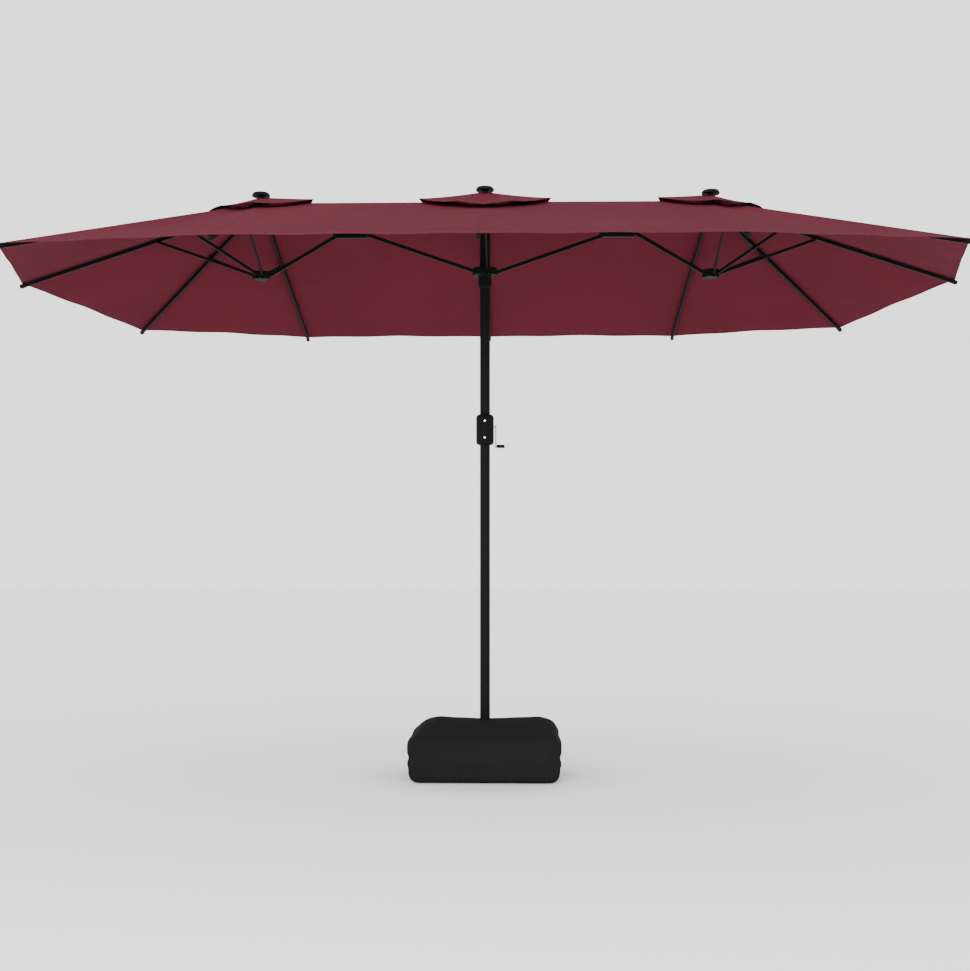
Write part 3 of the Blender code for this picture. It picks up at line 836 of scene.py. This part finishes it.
def select_only(piece: bpy.types.Object) -> None:
    """Selects one object and makes it active.

    Args:
        piece: The object.
    """
    select_nothing()
    piece.select_set(True)
    bpy.context.view_layer.objects.active = piece


# --- weight bag ------------------------------------------------------------
@dataclass
class WeightBag:
    """The sand-filled bag over the cross legs."""

    cloth: bpy.types.Material
    slack: float = 0.008
    corner: float = 0.040
    bore: float = 0.030
    voxel: float = 0.009
    front_edge: float = 0.200
    crown: float = 0.271
    swell: float = 0.007
    held_to: float = 0.045
    shoulder: float = 0.060
    waist: float = 0.1
    back_rise: float = 0.035
    pressure: float = 4.0
    last_frame: int = 14
    fold_turns: tuple[float, float] = (58, 117)
    fold_depth: float = 0.0034
    pucker: float = 0.0016
    slope: float = 1.4
    end_lift: float = 0.008
    pole_dip: float = 0.005
    dip_spread: float = 0.13
    top_ripple: float = 0.0022
    shoulder_from: float = 0.185
    shoulder_height: float = 0.085
    right_shoulder: float = 0.016
    ground_gap: float = 0.0008
    socket_room: tuple[float, float] = (0.073, 0.08)
    way_height: float = 0.4
    leg_room: tuple[tuple[float, float, float], ...] = (
        (0.612, 0.048, 0.046),
        (0.048, 0.412, 0.046),
    )

    @property
    def size(self) -> tuple[float, float, float]:
        """The unfilled shell's size, which leaves room for the filling.

        Returns:
            Its length, depth and height in metres.
        """
        low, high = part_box("weight_bag")
        return (
            high.x - low.x - 2 * self.slack,
            high.y - low.y - 2 * self.slack,
            high.z - self.slack,
        )

    def build(self) -> None:
        """Makes the bag, fills it, and cuts its bore."""
        select_nothing()
        bpy.ops.mesh.primitive_cube_add(size=1, location=(0, 0, self.size[2] / 2))
        bag = bpy.context.object
        bag.name = "bag_shell"
        bag.scale = self.size
        bpy.ops.object.transform_apply(location=True, rotation=True, scale=True)
        bevel = bag.modifiers.new("corners", "BEVEL")
        bevel.width, bevel.segments = self.corner, 4
        bpy.ops.object.modifier_apply(modifier=bevel.name)
        bag.data.remesh_voxel_size = self.voxel
        bpy.ops.object.voxel_remesh()
        self._fill(bag)
        self._settle(bag)
        smooth = bag.modifiers.new("smooth", "SMOOTH")
        smooth.iterations, smooth.factor = 3, 0.5
        bpy.ops.object.modifier_apply(modifier=smooth.name)
        self._bore(bag)
        self._map(bag)
        bag.data.materials.clear()
        bag.data.materials.append(self.cloth)
        bag.data.shade_smooth()
        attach(bag, "pole")
        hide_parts("weight_bag")
        LOG.info("weight bag: %d faces", len(bag.data.polygons))

    def _fill(self, bag: bpy.types.Object) -> None:
        """Swells the bag by cloth simulation, with its base held flat by the weight.

        Args:
            bag: The bag's shell.
        """
        rest = [v.co.copy() for v in bag.data.vertices]
        sim = bag.modifiers.new("fill", "CLOTH")
        sim.settings.use_pressure = True
        sim.settings.uniform_pressure_force = self.pressure
        sim.settings.effector_weights.gravity = 0.0
        sim.settings.quality = 6
        sim.point_cache.frame_start, sim.point_cache.frame_end = 1, self.last_frame
        scene = bpy.context.scene
        for step in range(1, self.last_frame + 1):
            scene.frame_set(step)
        bpy.ops.object.modifier_apply(modifier=sim.name)
        scene.frame_set(1)
        for vert, start in zip(bag.data.vertices, rest):
            move = vert.co - start
            free = max(0.0, min(1.0, (start.z - self.held_to) / self.held_to))
            if move.length > 0:
                swell = min(move.length, self.swell)
                vert.co = start + move.normalized() * swell * free

    def _settle(self, bag: bpy.types.Object) -> None:
        """Sets the bag on the ground, creases its sides and slopes its top.

        Args:
            bag: The bag's shell.
        """
        half_x, half_y, high = self.size[0] / 2, self.size[1] / 2, self.size[2]
        for vert in bag.data.vertices:
            p = vert.co
            level = max(0.0, min(1.0, p.z / high))
            out_x, out_y = abs(p.x) / half_x, abs(p.y) / half_y
            self._crease_sides(p, out_x, out_y, level)
            if p.z > self.waist:
                self._slope_top(p, out_x, half_y, high)
            p.z = max(p.z, self.ground_gap)

    def _crease_sides(
        self, p: Vector, out_x: float, out_y: float, level: float
    ) -> None:
        """Creases the bag's ends and puckers its front and back.

        Args:
            p: The point, which is moved.
            out_x: How far out it is along the bag, from 0 to 1.
            out_y: How far out it is across the bag, from 0 to 1.
            level: How high up it is, from 0 to 1.
        """
        broad, fine = self.fold_turns
        fold = math.sin(p.z * broad + 2.1 * math.sin(p.y * 9))
        fold = fold + 0.5 * math.sin(p.z * fine + p.y * 14)
        crease = math.copysign(self.fold_depth, p.x) * fold * out_x**5
        p.x += crease * math.sin(math.pi * level)
        p.y += self.pucker * math.sin(p.z * 55 + p.x * 19) * out_y**4

    def _slope_top(self, p: Vector, out_x: float, half_y: float, high: float) -> None:
        """Slopes the bag's top from the pole to its edges, and rounds its shoulders.

        Args:
            p: The point, which is moved.
            out_x: How far out it is along the bag, from 0 to 1.
            half_y: Half the shell's depth.
            high: The shell's height.
        """
        waist = self.waist
        share = min(1.0, abs(p.y) / half_y)
        top = self.front_edge if p.y < 0 else self.front_edge + self.back_rise
        top = top + (self.crown - top) * (1 - share**self.slope)
        away = math.hypot(p.x, p.y)
        dip = self.pole_dip * math.exp(-((away / self.dip_spread) ** 2))
        top += self.end_lift * out_x**2 - dip
        top += self.top_ripple * math.sin(p.x * 24 + 1) * math.cos(p.y * 21)
        p.z = waist + (p.z - waist) * (top - waist) / (high - waist)
        tall = max(0.0, (p.z - self.shoulder_from) / self.shoulder_height)
        if p.x < 0:
            p.x += self.shoulder * tall**1.3 * out_x**2
        else:
            p.x -= self.right_shoulder * tall**2 * out_x**3

    def _bore(self, bag: bpy.types.Object) -> None:
        """Cuts the way for the pole's socket and the room for the legs and flange.

        Args:
            bag: The filled bag.
        """
        tools = []
        for radius, depth, height in (
            (self.bore, self.way_height, self.way_height / 2),
            (*self.socket_room, 0.0),
        ):
            bpy.ops.mesh.primitive_cylinder_add(
                vertices=48, radius=radius, depth=depth, location=(0, 0, height)
            )
            tools.append(bpy.context.object)
        for scale in self.leg_room:
            bpy.ops.mesh.primitive_cube_add(size=1, location=(0, 0, 0))
            bpy.context.object.scale = scale
            tools.append(bpy.context.object)
        bpy.context.view_layer.update()
        for tool in tools:
            select_only(tool)
            bpy.ops.object.transform_apply(location=True, rotation=True, scale=True)
            cut = bag.modifiers.new("cut", "BOOLEAN")
            cut.operation, cut.object, cut.solver = "DIFFERENCE", tool, "EXACT"
            select_only(bag)
            bpy.ops.object.modifier_apply(modifier=cut.name)
            bpy.data.objects.remove(tool, do_unlink=True)

    def _map(self, bag: bpy.types.Object) -> None:
        """Gives the bag a map in metres, and its distance from the seam.

        Args:
            bag: The finished bag.
        """
        data = bag.data
        while data.uv_layers:
            data.uv_layers.remove(data.uv_layers[0])
        layer = data.uv_layers.new(name="cloth")
        for poly in data.polygons:
            n = [abs(c) for c in poly.normal]
            axes = (1, 2) if n[0] >= n[1] else (0, 2)
            if n[2] >= max(n[:2]):
                axes = (0, 1)
            for loop in poly.loop_indices:
                co = data.vertices[data.loops[loop].vertex_index].co
                layer.data[loop].uv = (co[axes[0]], co[axes[1]])
        hem = data.attributes.new("hem", "FLOAT", "POINT")
        seam = data.attributes.new("seam", "FLOAT", "POINT")
        for vert in data.vertices:
            hem.data[vert.index].value = 1.0
            seam.data[vert.index].value = abs(vert.co.z - self.front_edge)


# --- frame finishes --------------------------------------------------------
@dataclass
class FrameDressing:
    """Finishes for the pieces that stay as they are in the frame."""

    finishes: dict[str, bpy.types.Material]

    def slot_of(self, node: str) -> str:
        """Finds the finish for a node, by what the piece is made of.

        Args:
            node: The node's name.

        Returns:
            The name of the finish.
        """
        bare = ("rope_spool", "rope_pulley", "pulley_pin", "base_bolt")
        if node in bare or "screw" in node:
            return "plated"
        if node == "crank_arm":
            return "grey"
        moulded = ("_hub", "_cap", "grip", "runner", "housing_front", "housing_back")
        return "moulded" if node.endswith(moulded) else "powder"

    def build(self) -> None:
        """Gives every shown node its finish."""
        for node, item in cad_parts.items():
            item.data.materials.clear()
            item.data.materials.append(self.finishes[self.slot_of(node)])
        LOG.info("frame: %d nodes dressed", len(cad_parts))


# --- stage -----------------------------------------------------------------
@dataclass
class Stage:
    """A pale floor and backdrop, soft light and the camera."""

    distance: float = 6.2347
    turn: float = 0.0215
    height: float = 1.079
    lens: float = 48.25
    sensor: float = 36.0
    shift: float = 0.067
    glow: float = 2.0
    floor_size: float = 60
    floor_gap: float = 0.001
    floor_colour: tuple[float, float, float] = (0.93, 0.93, 0.93)
    lamps_aim: tuple[float, float, float] = (0, 0, 1.6)

    def build(self) -> None:
        """Makes the floor, the lights, the surroundings and the camera."""
        self._floor()
        self._lamps()
        self._camera()
        LOG.info("stage ready")

    def _floor(self) -> None:
        """A large pale floor, and pale surroundings."""
        select_nothing()
        bpy.ops.mesh.primitive_plane_add(
            size=self.floor_size, location=(0, 0, -self.floor_gap)
        )
        floor = bpy.context.object
        floor.name = "floor"
        made = bpy.data.materials.new("pale floor")
        made.use_nodes = True
        shader = made.node_tree.nodes["Principled BSDF"]
        shader.inputs["Base Color"].default_value = (*self.floor_colour, 1)
        shader.inputs["Roughness"].default_value = 0.9
        floor.data.materials.append(made)
        world = bpy.context.scene.world or bpy.data.worlds.new("studio")
        bpy.context.scene.world = world
        world.use_nodes = True
        backdrop = world.node_tree.nodes["Background"]
        backdrop.inputs[0].default_value = (1, 1, 1, 1)
        backdrop.inputs[1].default_value = self.glow

    def _lamps(self) -> None:
        """A broad lamp high in front, and a smaller one low down."""
        for name, place, size, power in (
            ("key", (-1.5, -7.5, 3.2), 4.0, 330.0),
            ("fill", (2.5, -7.0, 0.9), 3.0, 90.0),
        ):
            lamp = bpy.data.lights.new(name, "AREA")
            lamp.energy, lamp.size = power, size
            item = bpy.data.objects.new(name, lamp)
            bpy.context.scene.collection.objects.link(item)
            item.location = place
            aim = Vector(self.lamps_aim) - Vector(place)
            item.rotation_euler = aim.to_track_quat("-Z", "Y").to_euler()

    def _camera(self) -> None:
        """A level camera in front, a little to the right."""
        data = bpy.data.cameras.new("camera")
        data.lens, data.sensor_width, data.shift_y = self.lens, self.sensor, self.shift
        camera = bpy.data.objects.new("camera", data)
        bpy.context.scene.collection.objects.link(camera)
        camera.location = (
            self.distance * math.sin(self.turn),
            -self.distance * math.cos(self.turn),
            self.height,
        )
        camera.rotation_euler = (math.pi / 2, 0, self.turn)
        bpy.context.scene.camera = camera


def main() -> None:
    """Builds the stage, the cloth, the bag and the finishes, in that order."""
    logging.basicConfig(level=logging.INFO, format="%(name)s %(message)s")
    Stage().build()
    grain = grain_group()
    red = Cloth(
        name="canopy canvas",
        colour=(0.084, 0.0120, 0.0200),
        thread=(0.07, 0.010, 0.016),
        weave=Weave.CANVAS,
        pitch=0.0011,
        gloss=0.03,
    )
    black = Cloth(
        name="bag oxford",
        colour=(0.0112, 0.0112, 0.0113),
        thread=(0.016, 0.016, 0.016),
        weave=Weave.OXFORD,
        pitch=0.0016,
        gloss=0.03,
    )
    canopy_cloth = red.material(thread_group(red.weave))
    bag_cloth = black.material(thread_group(black.weave))
    coats = {
        "powder": Coat(
            name="black powder coat",
            colour=(0.0040, 0.0041, 0.0042),
            roughness=0.55,
            gloss=0.06,
            grain=1400.0,
        ),
        "moulded": Coat(
            name="black moulding",
            colour=(0.0040, 0.0041, 0.0041),
            roughness=0.62,
            gloss=0.06,
            grain=700.0,
        ),
        "plated": Coat(
            name="plated steel",
            colour=(0.42, 0.42, 0.41),
            roughness=0.32,
            metallic=1.0,
            grain=500.0,
            depth=0.00003,
            gloss=0.5,
            wear=(0.30, 0.30, 0.29),
        ),
        "grey": Coat(
            name="grey crank paint",
            colour=(0.20, 0.20, 0.195),
            roughness=0.40,
            metallic=0.2,
            grain=1100.0,
            depth=0.00005,
            gloss=0.4,
            wear=(0.26, 0.26, 0.255),
        ),
    }
    finishes = {slot: coat.material(grain) for slot, coat in coats.items()}
    FrameDressing(finishes).build()
    Canopy(canopy_cloth).build()
    WeightBag(bag_cloth).build()


if __name__ == "__main__":
    main()
